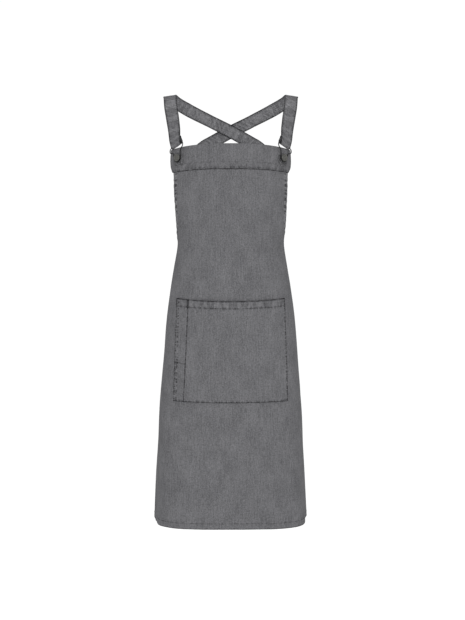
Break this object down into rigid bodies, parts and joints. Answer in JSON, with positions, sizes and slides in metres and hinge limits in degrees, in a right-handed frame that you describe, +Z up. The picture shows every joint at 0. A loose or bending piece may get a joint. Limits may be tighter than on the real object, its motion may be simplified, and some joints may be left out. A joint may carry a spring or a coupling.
{
  "type": "cross back apron",
  "caption": "Long grey denim apron in its worn shape, with a banded bib, a front patch pocket and crossed shoulder straps held by wire clips on shank buttons.",
  "frame": {"origin": "midway between the undersides of the two straps on top of the wearer's shoulders, where the worn apron is held up", "axes": "+Z up, the apron's front faces -Y, +X is to the right of someone who looks at its front"},
  "size_m": [0.36, 0.2319, 0.9897],
  "materials": {
    "denim": "matte grey washed denim with a fine vertical streak",
    "strap_denim": "matte grey washed denim, doubled",
    "dark_wire": "dark blackened wire",
    "gunmetal": "dull gunmetal"
  },
  "bodies": {
    "root": {"apron_panel": "denim", "bib_band": "denim", "pocket": "denim", "strap_left": "strap_denim", "strap_right": "strap_denim", "clip_left": "dark_wire", "clip_right": "dark_wire", "button_left": "gunmetal", "button_right": "gunmetal"}
  },
  "joints": []
}
